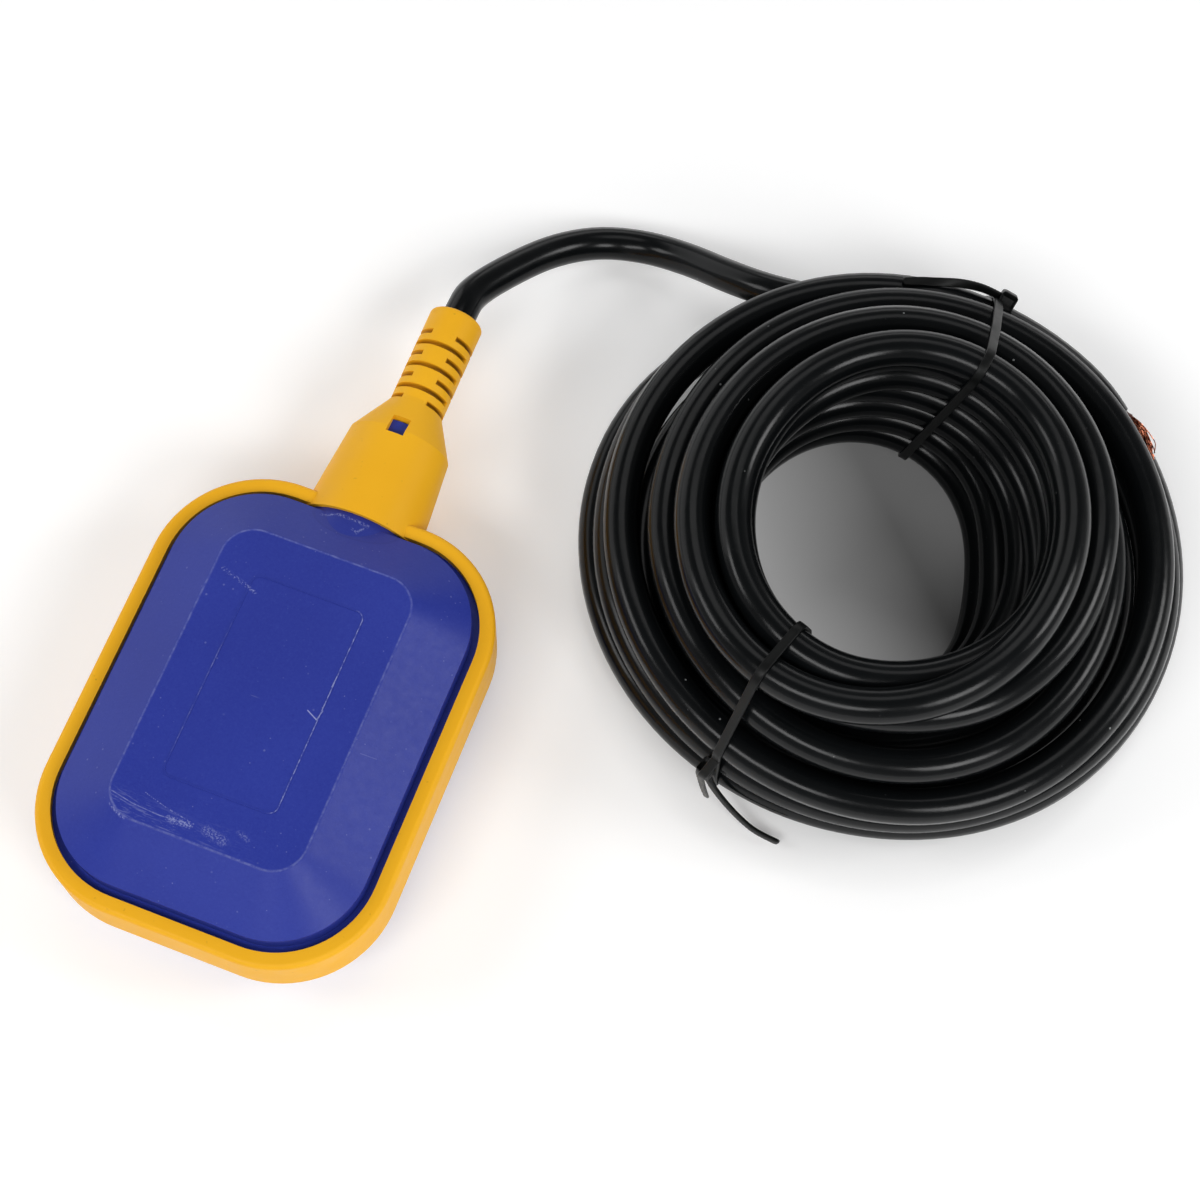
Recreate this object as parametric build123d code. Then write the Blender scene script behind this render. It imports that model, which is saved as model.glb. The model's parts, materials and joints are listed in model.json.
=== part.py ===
"""Cable float switch: two-part hollow float, moulded rim and neck, ball-operated
microswitch inside, 8 mm cable laid in a tied coil.  Millimetres, +Z up.

The float lies flat on its lower face.  +Y points along the neck to the cable.
Origin: bottom centre of the float's box.  Local float coordinates used below
are (x, y, zm): y from the rim's centre, zm from the parting plane.
"""

import math
import os

from build123d import *

# ---------------------------------------------------------------- dimensions
ROW_Y = -27.27          # rim centre in the row frame
MID_Z = 18.5            # parting plane above the rest face

RIM_W, RIM_L, RIM_R = 80.0, 104.92, 25.24     # rubber rim, outside
RIM_HALF_H = 7.54
LIP_W, LIP_L, LIP_R = 73.0, 97.90, 21.70      # inner edge of the rim's lips
LIP_Z = 5.5
FLANGE_W, FLANGE_L, FLANGE_R = 76.0, 100.90, 23.24
WALL_W, WALL_L, WALL_R = 69.6, 94.4, 20.0     # vertical wall above the flange
WALL_Z = 10.25
PLATEAU_W, PLATEAU_L, PLATEAU_R = 44.4, 69.9, 7.5
PLATEAU_Y = 0.35                              # its centre from the rim's
HALF_T = 18.5                                 # half thickness of the float
CAV_W, CAV_L, CAV_R = 65.2, 90.0, 17.8        # cavity
CAV_Z = 9.4
CAV_TOP_W, CAV_TOP_L, CAV_TOP_R = 40.0, 65.4, 9.5
CAV_TOP_Z = 16.3
BORDER_W, BORDER_L, BORDER_R = 26.2, 48.6, 2.2   # raised line on the upper face
BORDER_T, BORDER_H, BORDER_Y = 0.35, 0.1, 1.1

CABLE_R = 4.0
SLEEVE_R = 6.5
SLEEVE_TIP_Y = 107.0
# neck of the rubber: y, half width, half height
NECK = [(48.6, 14.15, 12.35), (60.0, 13.2, 11.4), (72.0, 12.1, 10.3)]
NECK_END = (81.0, 6.9, 6.9)
# spigot of the shells under the rubber: y, half width, half height
SPIGOT = [(38.0, 17.6, 15.2), (49.5, 12.4, 10.95), (74.6, 9.5, 8.0)]
SLOT_W = 1.25
SLOT_Y0, SLOT_PITCH, SLOT_ROWS = 99.8, 2.97, 7
SLOT_FLOOR_R = 4.9

# inside
POSTS = [(sx * 20.5, sy * 24.0) for sx in (1, -1) for sy in (1, -1)]
POST_R, SCREW_R = 3.3, 1.25
CAR_X, CAR_Y0, CAR_Y1, CAR_Z0, CAR_Z1, CAR_T = 16.0, -33.0, 36.0, -10.5, 8.9, 1.6
LID_T = 1.6
BALL_R = 6.35
BALL_Y0 = -24.7
LEVER_Y, LEVER_Z = 8.1, 6.6          # pivot of the trip lever
LEVER_T = 1.0
PIN_R = 0.8
PLUNGER_X, PLUNGER_Z, PLUNGER_R = 4.0, 0.15, 1.6
SW_X, SW_Y0, SW_Y1, SW_Z0, SW_Z1, SW_T = 13.9, 12.0, 27.9, -5.0, 5.3, 1.2
TERM_X = (-9.0, 0.0, 9.0)
TERM_END_Y = 33.0
CORE_R = 1.1
CABLE_END_Y = 41.2

# cable outside the float, row frame: corners of the route, straight runs
# joined by tangent arcs
ROUTE = [
    (0.0, 79.73, 18.5),
    (0.0, 88.78, 16.9),
    (5.22, 99.36, 13.4),
    (11.8, 110.26, 9.2),
    (20.77, 118.49, 5.9),
    (31.97, 121.95, 5.2),
    (44.06, 120.26, 9.2),
    (56.09, 115.59, 15.8),
    (68.54, 112.77, 20.8),
    (81.83, 114.44, 22.0),
    (96.2, 118.05, 21.1),
]

# coil: stacked slabs of its outer shape
# z low, z high, outer ellipse (cx, cy, a, b, turn), inner ellipse (same)
COIL_SLABS = [
    (0.0, 8.8, (111.8, 64.9, 70.7, 67.4, 5.2), (106.1, 60.0, 27.1, 32.0, 22.4)),
    (8.8, 16.6, (112.6, 65.3, 68.4, 68.6, 176.7), (106.6, 60.5, 26.9, 30.9, 18.7)),
    (16.6, 24.4, (115.3, 59.2, 66.8, 61.7, 28.8), (107.9, 59.3, 28.0, 32.1, 18.4)),
    (24.4, 32.2, (112.1, 60.6, 63.4, 66.0, 36.3), (108.7, 57.3, 30.9, 34.2, 179.6)),
    (32.2, 40.0, (113.7, 61.2, 59.4, 54.7, 80.3), (112.1, 57.3, 31.3, 33.1, 3.3)),
    (40.0, 48.0, (111.0, 59.3, 48.3, 51.7, 24.7), (113.1, 58.0, 31.0, 33.2, 5.9)),
    (48.0, 59.5, (110.2, 57.4, 44.6, 51.5, 171.3), (113.1, 55.8, 33.6, 31.2, 82.1)),
]
COIL_C = (112.0, 55.0)
STRAP_W, STRAP_T = 2.1, 0.9
# each tie lies in a plane: origin, direction outwards from the coil, normal
FRONT_PLANE = ((112.0, 55.0, 0.0), (-0.3090, -0.9511, 0.0), (-0.9511, 0.3090, 0.0))
REAR_PLANE = ((103.81, 55.0, 0.0), (0.1018, 0.9948, 0.0), (0.9766, -0.0999, -0.1905))
# turns held by each tie, in its plane: distance outwards, distance upwards
FRONT_TURNS = [(54.7, 26.5), (45.2, 50.4), (36.7, 49.8), (34.0, 42.0),
               (29.0, 13.3), (29.9, 5.2), (38.0, 5.2), (46.1, 5.2), (54.2, 6.2)]
REAR_TURNS = [(39.1, 56.6), (40.2, 7.5), (48.3, 5.2), (70.0, 5.3),
              (75.9, 10.9), (67.0, 28.7), (61.0, 36.2), (49.9, 47.2)]
# heads: place in the plane (outwards, up, across), size
FRONT_HEAD = ((60.0, 17.0, 1.3), (4.4, 4.2, 3.8))
REAR_HEAD = ((70.9, 32.2, 2.2), (4.6, 4.8, 4.2))
TAIL_FRONT = [(92.2, -1.7, 15.5), (92.6, -2.0, 13.0), (94.2, -2.8, 9.5), (97.9, -4.3, 6.0),
              (102.7, -6.1, 3.5), (107.4, -7.5, 2.6), (112.4, -7.7, 2.4)]
TAIL_REAR = [(118.6, 124.9, 31.6), (114.2, 124.8, 33.0), (111.1, 124.6, 33.2),
             (107.7, 124.0, 33.3), (104.4, 122.8, 33.5), (101.7, 121.7, 33.7),
             (98.4, 120.5, 34.0), (95.3, 119.0, 34.1)]
CORE_ENDS = [
    [(149.9, 109.5, 25.4), (152.0, 109.85, 25.1), (154.6, 109.6, 24.7)],
    [(149.5, 108.6, 24.2), (152.3, 107.4, 23.4), (155.0, 105.6, 22.6)],
    [(149.3, 107.3, 25.6), (152.0, 105.6, 25.0), (154.6, 103.4, 24.0)],
]
STRANDS = [
    [(154.2, 109.6, 24.6), (157.8, 108.9, 23.7), (160.2, 107.5, 22.0), (162.9, 105.4, 19.0)],
    [(154.1, 109.2, 24.1), (157.6, 108.4, 23.2), (159.7, 106.9, 21.6), (162.0, 104.4, 19.2)],
    [(154.3, 109.9, 25.15), (158.0, 109.3, 24.2), (160.9, 108.1, 22.5), (163.6, 106.2, 19.7)],
]

# ------------------------------------------------------------------- helpers
PARTS = {}


def place(shape):
    """Float coordinates to the row frame."""
    return Pos(0, ROW_Y, MID_Z) * shape


def keep(name, shape):
    PARTS[name] = shape


def rr(w, length, r, z):
    return Pos(0, 0, z) * RectangleRounded(w, length, r)


def prism(w, length, r, z0, z1):
    return extrude(rr(w, length, r, z0), amount=z1 - z0)


def taper(w0, l0, r0, z0, w1, l1, r1, z1):
    return loft([rr(w0, l0, r0, z0).face(), rr(w1, l1, r1, z1).face()], ruled=True)


def box(x0, x1, y0, y1, z0, z1):
    return Pos((x0 + x1) / 2, (y0 + y1) / 2, (z0 + z1) / 2) * Box(
        x1 - x0, y1 - y0, z1 - z0)


def rod_y(r, y0, y1, x=0.0, z=0.0):
    return Pos(x, (y0 + y1) / 2, z) * Rot(90, 0, 0) * Cylinder(r, y1 - y0)


def rod_x(r, x0, x1, y=0.0, z=0.0):
    return Pos((x0 + x1) / 2, y, z) * Rot(0, 90, 0) * Cylinder(r, x1 - x0)


def rod_z(r, z0, z1, x=0.0, y=0.0):
    return Pos(x, y, (z0 + z1) / 2) * Cylinder(r, z1 - z0)


def oval(y, a, b):
    """Elliptic section across the neck at y: half width a, half height b."""
    plane = Plane(origin=(0, y, 0), x_dir=(1, 0, 0), z_dir=(0, -1, 0))
    return (plane * Ellipse(a, b)).face()


def neck_solid(sections):
    out = None
    for lower, upper in zip(sections, sections[1:]):
        piece = loft([oval(*lower), oval(*upper)], ruled=True)
        out = piece if out is None else out + piece
    return out


def route_length(points):
    return sum(math.dist(a, b) for a, b in zip(points, points[1:]))


def arc_radii(points, share=0.45):
    """A radius for each corner: share of the shorter run over tan(half turn)."""
    radii = []
    for a, b, c in zip(points, points[1:], points[2:]):
        u = [b[i] - a[i] for i in range(3)]
        v = [c[i] - b[i] for i in range(3)]
        lu, lv = math.hypot(*u), math.hypot(*v)
        cos_t = sum(p * q for p, q in zip(u, v)) / (lu * lv)
        turn = math.acos(max(-1.0, min(1.0, cos_t)))
        radii.append(share * min(lu, lv) / math.tan(turn / 2))
    return radii


def tube(points, radius, radii=None):
    radii = radii or arc_radii(points)
    line = FilletPolyline(*points, radius=radii)
    start = Plane(origin=line @ 0, z_dir=line % 0)
    return sweep(start * Circle(radius), path=line), line.length


# ----------------------------------------------------------- float's shells
solid_half = (
    prism(FLANGE_W, FLANGE_L, FLANGE_R, 0, LIP_Z)
    + prism(WALL_W, WALL_L, WALL_R, LIP_Z, WALL_Z)
    + loft([rr(WALL_W, WALL_L, WALL_R, WALL_Z).face(),
            (Pos(0, PLATEAU_Y, 0) * rr(PLATEAU_W, PLATEAU_L, PLATEAU_R, HALF_T)).face()],
           ruled=True)
)
top_edges = solid_half.edges().filter_by_position(
    Axis.Z, HALF_T - 0.01, HALF_T + 0.01)
solid_half = fillet(top_edges, 0.5)
cavity = prism(CAV_W, CAV_L, CAV_R, -1, CAV_Z) + taper(
    CAV_W, CAV_L, CAV_R, CAV_Z, CAV_TOP_W, CAV_TOP_L, CAV_TOP_R, CAV_TOP_Z)
spigot = neck_solid(SPIGOT)
upper_space = box(-60, 60, -80, 120, 0, 40)
bore = rod_y(CABLE_R, 40, 80)
gland = rod_y(6.2, 50, 56)
upper_spigot = (spigot & upper_space)
shell = solid_half + upper_spigot - cavity - bore - gland

# locating pins between the halves, on the welded flange
PIN_SPOTS = [(35.3, 0), (-35.3, 0), (35.3, 22), (-35.3, 22), (35.3, -22),
             (-35.3, -22), (0, -47.7)]
ribs = None
for x in (-9.0, 9.0):
    r = box(x - 0.7, x + 0.7, -31.0, 31.0, 13.6, CAV_TOP_Z + 0.3)
    ribs = r if ribs is None else ribs + r
upper = shell + ribs
for x, y in PIN_SPOTS:
    upper -= rod_z(1.25, -0.1, 2.2, x, y)
border = prism(BORDER_W, BORDER_L, BORDER_R, HALF_T - 0.2, HALF_T + BORDER_H) \
    - prism(BORDER_W - 2 * BORDER_T, BORDER_L - 2 * BORDER_T,
            BORDER_R - BORDER_T, HALF_T - 1, HALF_T + 1)
upper += Pos(0, BORDER_Y, 0) * border
keep("upper_shell", place(upper))

lower = mirror(shell, about=Plane.XY)
for x, y in PIN_SPOTS:
    lower += rod_z(1.2, -1.0, 2.0, x, y)
for x, y in POSTS:
    lower += rod_z(POST_R, -CAV_TOP_Z - 0.4, CAR_Z0, x, y)
    lower -= rod_z(SCREW_R, -15.0, CAR_Z0 + 1, x, y)
bridge = box(-10.0, 10.0, 41.4, 45.5, -15.5, 0.0) & (
    mirror(cavity, about=Plane.XY) + box(-12, 12, 44, 46, -9, 0))
lower += bridge
lower -= rod_y(CABLE_R, 30, 80)
for x in (-7.3, 7.3):
    lower -= rod_z(SCREW_R, -8.0, 1.0, x, 43.4)
keep("lower_shell", place(lower))

# --------------------------------------------------------- rubber rim, neck
band = prism(RIM_W, RIM_L, RIM_R, -RIM_HALF_H, RIM_HALF_H)
band = fillet(band.edges().filter_by_position(
    Axis.Z, RIM_HALF_H - 0.01, RIM_HALF_H + 0.01), 1.2)
band = fillet(band.edges().filter_by_position(
    Axis.Z, -RIM_HALF_H - 0.01, -RIM_HALF_H + 0.01), 1.2)
neck = neck_solid(NECK) + loft([oval(*NECK[-1]), oval(*NECK_END)], ruled=True)
sleeve = rod_y(SLEEVE_R, 80.0, SLEEVE_TIP_Y)
sleeve = fillet(sleeve.edges().filter_by_position(
    Axis.Y, SLEEVE_TIP_Y - 0.01, SLEEVE_TIP_Y + 0.01), 0.9)
collar = loft([oval(*NECK_END), oval(82.2, SLEEVE_R, SLEEVE_R)], ruled=True)
body = neck + collar + sleeve

slot_tools = None
for k in range(SLOT_ROWS):
    y = SLOT_Y0 - k * SLOT_PITCH
    ring = rod_y(SLEEVE_R + 1.0, y - SLOT_W / 2, y + SLOT_W / 2) - rod_y(
        SLOT_FLOOR_R, y - 1.5, y + 1.5)
    if k % 2 == 0:
        ring -= box(-2.9, 2.9, y - 2, y + 2, -10, 10)
    else:
        ring -= box(-10, 10, y - 2, y + 2, -1.5, 1.5)
    slot_tools = ring if slot_tools is None else slot_tools + ring
body -= slot_tools

# windows above and below, floor rising towards the sleeve
window = None
for s in (1, -1):
    pts = [(70.6, 6.9), (74.75, 6.9), (76.4, 12.0), (70.6, 12.0)]
    prof = Plane.YZ * Polygon(*[(y, s * z) for y, z in pts], align=None)
    w = Pos(-2.1, 0, 0) * extrude(prof, amount=4.2, dir=(1, 0, 0))
    window = w if window is None else window + w
inner_prism = prism(LIP_W, LIP_L, LIP_R, -RIM_HALF_H - 1, RIM_HALF_H + 1)
channel = prism(FLANGE_W, FLANGE_L, FLANGE_R, -LIP_Z, LIP_Z)
ring_part = band - inner_prism - channel
neck_part = body - channel - window
solid_both = solid_half + mirror(solid_half, about=Plane.XY)
neck_part = neck_part - spigot - solid_both
over = ring_part + neck_part - spigot - rod_y(CABLE_R, 40, 120)
keep("overmould", place(over))

# ------------------------------------------------------------- cable inside
cable_in = rod_y(CABLE_R, CABLE_END_Y, SLEEVE_TIP_Y)
keep("cable_inner", place(cable_in))
keep("cable_grommet", place(rod_y(6.2, 50, 56) - rod_y(CABLE_R, 49, 57)))

clamp = box(-10.0, 10.0, 41.4, 44.6, 0.0, 6.0) - rod_y(CABLE_R, 40, 50)
for x in (-7.3, 7.3):
    clamp -= rod_z(SCREW_R, -1, 7, x, 43.4)
clamp = clamp & (box(-10, 10, 41.4, 44.6, 0, 6) & cavity)
keep("cable_clamp", place(clamp))
screws = []
for x in (-7.3, 7.3):
    head = rod_z(2.4, 6.0, 7.7, x, 43.0) - rod_z(1.1, 6.8, 8.0, x, 43.0)
    head = rod_z(1.15, 6.0, 7.7, x, 43.4) + head & box(-20, 20, 40.7, 44.8, 5, 8)
    screws.append(rod_z(SCREW_R, -8.0, 6.0, x, 43.4) + head)
keep("clamp_screws", place(Compound(children=[s.solid() for s in screws])))

# ------------------------------------------------------------- switch carrier
carrier = box(-CAR_X, CAR_X, CAR_Y0, CAR_Y1, CAR_Z0, CAR_Z1) - box(
    -CAR_X + CAR_T, CAR_X - CAR_T, CAR_Y0 + CAR_T, CAR_Y1 - CAR_T,
    CAR_Z0 + CAR_T, CAR_Z1 + 1)
for s in (-1, 1):
    carrier += box(min(s * 6.75, s * 8.1), max(s * 6.75, s * 8.1),
                   CAR_Y0 + CAR_T - 0.2, 7.0, CAR_Z0 + CAR_T - 0.2, 3.5)
    carrier += box(min(s * 9.0, s * 14.6), max(s * 9.0, s * 14.6),
                   SW_Y0, SW_Y1, CAR_Z0 + CAR_T - 0.2, SW_Z0)
    carrier += box(min(s * (SW_X + 0.0), s * 14.6), max(s * SW_X, s * 14.6),
                   SW_Y0 + 2, SW_Y1 - 2, CAR_Z0 + CAR_T - 0.2, 4.0)
for x, y in POSTS:
    s = 1 if x > 0 else -1
    ear = rod_z(POST_R, CAR_Z0, CAR_Z0 + CAR_T, x, y) + box(
        min(s * 15.0, x), max(s * 15.0, x), y - POST_R, y + POST_R,
        CAR_Z0, CAR_Z0 + CAR_T)
    ear -= box(-14.5, 14.5, -40, 40, -20, 20)
    carrier += ear
    carrier -= rod_z(1.45, CAR_Z0 - 1, CAR_Z0 + CAR_T + 1, x, y)
carrier -= box(-10.8, 10.8, CAR_Y1 - 3, CAR_Y1 + 1, -3.2, 20)
carrier -= rod_x(PIN_R, -20, 20, LEVER_Y, LEVER_Z)
keep("switch_carrier", place(carrier))

lid = box(-CAR_X, CAR_X, CAR_Y0, CAR_Y1, CAR_Z1, CAR_Z1 + LID_T)
lid = fillet(lid.edges().filter_by(Axis.Z), 1.5)
for s in (-1, 1):
    lid += box(min(s * 9.5, s * 11.0), max(s * 9.5, s * 11.0),
               SW_Y0 + 1, SW_Y1 - 1, SW_Z1, CAR_Z1 + 0.2)
keep("carrier_lid", place(lid))

screws = []
for x, y in POSTS:
    z = CAR_Z0 + CAR_T
    head = rod_z(2.7, z, z + 2.0, x, y) - (
        Pos(x, y, z + 1.6) * Box(3.2, 0.8, 1.2)) - (
        Pos(x, y, z + 1.6) * Box(0.8, 3.2, 1.2))
    screws.append(head + rod_z(SCREW_R, -15.0, z + 0.2, x, y))
keep("carrier_screws", place(Compound(children=[s.solid() for s in screws])))

# ------------------------------------------------- ball, lever and its pivot
keep("steel_ball", place(Pos(0, BALL_Y0, CAR_Z0 + CAR_T + BALL_R) * Sphere(BALL_R)))
barrel = rod_x(1.8, -8.0, 8.0, LEVER_Y, LEVER_Z)
plate = box(-8.0, 8.0, LEVER_Y - LEVER_T / 2, LEVER_Y + LEVER_T / 2, -8.0, LEVER_Z)
foot = box(-5.0, 5.0, LEVER_Y + LEVER_T / 2 - 0.1, LEVER_Y + LEVER_T / 2 + 0.5,
           -7.0, -3.0)
lever = barrel + plate + foot - rod_x(PIN_R + 0.05, -9, 9, LEVER_Y, LEVER_Z)
keep("trip_lever", place(lever))
keep("lever_pin", place(rod_x(PIN_R, -15.6, 15.6, LEVER_Y, LEVER_Z)))

# ------------------------------------------------------------- microswitch
sw = box(-SW_X, SW_X, SW_Y0, SW_Y1, SW_Z0, SW_Z1)
sw = fillet(sw.edges().filter_by(Axis.Z), 0.8)
sw -= box(-SW_X + SW_T, SW_X - SW_T, SW_Y0 + SW_T, SW_Y1 - SW_T,
          SW_Z0 + SW_T, SW_Z1 - SW_T)
sw -= rod_y(PLUNGER_R + 0.05, SW_Y0 - 1, SW_Y0 + 3, PLUNGER_X, PLUNGER_Z)
for x in TERM_X:
    sw -= box(x - 1.6, x + 1.6, SW_Y1 - 3, SW_Y1 + 1, PLUNGER_Z - 0.25,
              PLUNGER_Z + 0.25)
half = box(-20, 20, 0, 40, -20, PLUNGER_Z)
keep("switch_base", place(sw & half))
keep("switch_cover", place(sw - half))

plunger = rod_y(PLUNGER_R, 9.7, 14.6, PLUNGER_X, PLUNGER_Z)
tip = (Pos(PLUNGER_X, 10.35, PLUNGER_Z) * Sphere(PLUNGER_R)) & box(
    PLUNGER_X - 3, PLUNGER_X + 3, 8.0, 10.4, -4, 4)
plunger = rod_y(PLUNGER_R, 10.35, 14.6, PLUNGER_X, PLUNGER_Z) + tip
keep("switch_plunger", place(plunger))


def strip(x0, x1, y0, y1, z0, z1):
    return box(x0, x1, y0, y1, z0, z1)


t0, t1 = PLUNGER_Z - 0.25, PLUNGER_Z + 0.25
hole = None
common = strip(-10.6, -7.4, 16.2, TERM_END_Y, t0, t1) + strip(
    -10.6, -7.4, 16.2, 16.8, -1.6, 1.9)
keep("terminal_common", place(common))
no = strip(7.4, 10.6, 18.6, TERM_END_Y, t0, t1) + strip(
    7.4, 10.6, 18.6, 19.2, -1.6, 1.9) + rod_y(1.2, 18.2, 18.7, 9.0, PLUNGER_Z)
keep("terminal_no", place(no))
nc = (strip(-1.6, 1.6, 25.9, TERM_END_Y, t0, t1)
      + strip(-1.6, 1.6, 25.9, 26.4, -3.3, t1)
      + strip(-1.6, 1.6, 13.6, 26.4, -3.3, -2.8)
      + strip(-1.6, 10.6, 13.6, 15.0, -3.3, -2.8)
      + strip(7.4, 10.6, 13.6, 14.1, -3.3, 1.9)
      + rod_y(1.2, 14.0, 14.6, 9.0, PLUNGER_Z))
keep("terminal_nc", place(nc))
blade = (strip(-10.6, 10.6, 15.9, 16.2, -1.5, 1.8)
         + rod_y(1.2, 14.6, 16.0, 9.0, PLUNGER_Z)
         + rod_y(1.2, 16.1, 17.2, 9.0, PLUNGER_Z))
keep("snap_blade", place(blade))

# --------------------------------------------------- cores inside the float
seat = {"core_brown": (-1.9, -9.0), "core_blue": (0.0, 0.0),
        "core_black": (1.9, 9.0)}
for name, (xa, xb) in seat.items():
    if xb == 0.0:
        pts = [(xa, CABLE_END_Y, -1.6), (xa, 39.1, -1.6), (xb, 35.2, PLUNGER_Z),
               (xb, TERM_END_Y, PLUNGER_Z)]
    else:
        pts = [(xa, CABLE_END_Y, 1.2), (xa, 39.1, 1.2),
               (xb, 35.2, PLUNGER_Z), (xb, TERM_END_Y, PLUNGER_Z)]
    core, _ = tube(pts, CORE_R)
    keep(name, place(core))

# ------------------------------------------------------- cable outside, coil
radii = arc_radii(ROUTE)
sheath, sheath_len = tube(ROUTE, CABLE_R, radii)
keep("cable_sheath", sheath)
print("cable_sheath radii", [round(r, 1) for r in radii])
section = math.pi * CABLE_R ** 2
print("cable_sheath volume", round(sheath.volume), "section x length",
      round(section * sheath_len), "length", round(sheath_len, 1))


def slab(z0, z1, ell):
    cx, cy, a, b, turn = ell
    return extrude(Pos(cx, cy, z0) * Rot(0, 0, turn) * Ellipse(a, b),
                   amount=z1 - z0)


def tie_frame(plane):
    origin, out, normal = plane
    return Plane(origin=origin, x_dir=out, z_dir=normal)


def tie_face(points, grow):
    return offset(Polygon(*points, align=None), amount=grow, kind=Kind.ARC)


coil = None
for z0, z1, outer, inner in COIL_SLABS:
    piece = slab(z0, z1, outer) - slab(z0, z1, inner)
    coil = piece if coil is None else coil + piece
for plane, points in ((FRONT_PLANE, FRONT_TURNS), (REAR_PLANE, REAR_TURNS)):
    frame_ = tie_frame(plane)
    slot = frame_ * (Pos(54, 30, 0) * Box(76, 66, STRAP_W + 0.6))
    held = frame_ * (Pos(0, 0, -2) * extrude(tie_face(points, 4.0), amount=4.0))
    coil = coil - (slot - held)
coil -= box(-100, 300, -100, 300, -5, 0)
keep("cable_coil", coil)


def chain(points, wide, thick, up=(0, 0, 1)):
    """A flat strap bent along points: overlapping straight pieces."""
    out = None
    for a, b in zip(points, points[1:]):
        d = Vector(*b) - Vector(*a)
        side = Vector(*up).cross(d)
        plane = Plane(origin=(Vector(*a) + Vector(*b)) * 0.5,
                      x_dir=d.normalized(), z_dir=side.normalized())
        piece = plane * Box(d.length + 0.5, wide, thick)
        out = piece if out is None else out + piece
    return out


def tie(plane, points, head_at, tail):
    frame_ = tie_frame(plane)
    ring = extrude(tie_face(points, 4.0 + STRAP_T), amount=STRAP_W) - extrude(
        tie_face(points, 4.0), amount=STRAP_W)
    ring = frame_ * (Pos(0, 0, -STRAP_W / 2) * ring)
    place_, size = head_at
    head = frame_ * (Pos(*place_) * Box(*size))
    inner = frame_ * (Pos(0, 0, -8) * extrude(tie_face(points, 4.0), amount=16.0))
    return (ring + (head - inner)) + (chain(tail, STRAP_W, STRAP_T) - inner)


front = tie(FRONT_PLANE, FRONT_TURNS, FRONT_HEAD, TAIL_FRONT)
keep("coil_tie_front", front)
rear = tie(REAR_PLANE, REAR_TURNS, REAR_HEAD, TAIL_REAR)
keep("coil_tie_rear", rear)

ends = []
for pts in CORE_ENDS:
    t, _ = tube(pts, 1.25)
    ends.append(t.solid())
keep("core_ends", Compound(children=ends))
strands = []
for pts in STRANDS:
    t, _ = tube(pts, 0.3)
    strands.append(t.solid())
keep("copper_strands", Compound(children=strands))

# ------------------------------------------------------------------- output
os.makedirs("parts", exist_ok=True)
for name, shape in PARTS.items():
    shape.label = name
    export_step(shape, f"parts/{name}.step")
    print(name, len(shape.solids()), round(shape.volume, 1))
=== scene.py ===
"""Cable float switch: looks, cord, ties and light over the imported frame. Metres, row frame."""
import json
import math
import random

import bpy
import bmesh
from mathutils import Matrix, Vector, noise


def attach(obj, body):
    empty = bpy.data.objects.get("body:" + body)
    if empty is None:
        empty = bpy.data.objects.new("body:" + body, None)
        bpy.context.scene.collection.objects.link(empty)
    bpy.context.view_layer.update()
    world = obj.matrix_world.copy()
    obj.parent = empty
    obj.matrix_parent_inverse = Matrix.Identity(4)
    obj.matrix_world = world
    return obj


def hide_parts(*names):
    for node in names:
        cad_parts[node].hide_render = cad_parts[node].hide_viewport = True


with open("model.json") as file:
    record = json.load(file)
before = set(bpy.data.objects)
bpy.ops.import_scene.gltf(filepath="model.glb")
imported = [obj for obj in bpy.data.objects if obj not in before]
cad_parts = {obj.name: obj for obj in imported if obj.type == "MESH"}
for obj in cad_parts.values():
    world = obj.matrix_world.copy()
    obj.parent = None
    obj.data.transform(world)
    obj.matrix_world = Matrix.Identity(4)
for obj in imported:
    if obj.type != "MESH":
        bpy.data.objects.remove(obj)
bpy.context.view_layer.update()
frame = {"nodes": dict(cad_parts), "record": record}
scene = bpy.context.scene
MM = 0.001


# ------------------------------------------------------------------ camera
def make_camera():
    right = Vector((0.93402, 0.35684, 0.01651)).normalized()
    fwd = Vector((-0.11538, 0.3451, -0.93145)).normalized()
    right = (right - fwd * right.dot(fwd)).normalized()
    up = right.cross(fwd)
    m = Matrix((right, up, -fwd)).transposed().to_4x4()
    m.translation = Vector((116.879, -154.585, 506.279)) * MM
    data = bpy.data.cameras.new("camera")
    data.sensor_width = 36.0
    data.sensor_fit = "HORIZONTAL"
    data.lens = 70.04
    data.clip_start = 0.01
    data.clip_end = 20.0
    cam = bpy.data.objects.new("camera", data)
    cam.matrix_world = m
    scene.collection.objects.link(cam)
    scene.camera = cam
    return cam


camera = make_camera()

# -------------------------------------------------------------------- cord
# free stretch, row frame in mm: straight out of the sleeve, down to the
# floor and up onto the coil
LEAD = [
    (0.0, 77.2, 18.5),
    (0.0, 82.4, 18.4),
    (0.0, 88.78, 16.9),
    (5.22, 99.36, 13.4),
    (11.8, 110.26, 9.2),
    (20.77, 118.49, 5.9),
    (31.97, 121.95, 5.2),
    (44.06, 120.26, 9.2),
    (56.09, 115.59, 15.8),
    (68.54, 112.77, 20.8),
    (81.83, 114.44, 22.0),
    (96.2, 118.05, 21.1),
]
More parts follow.
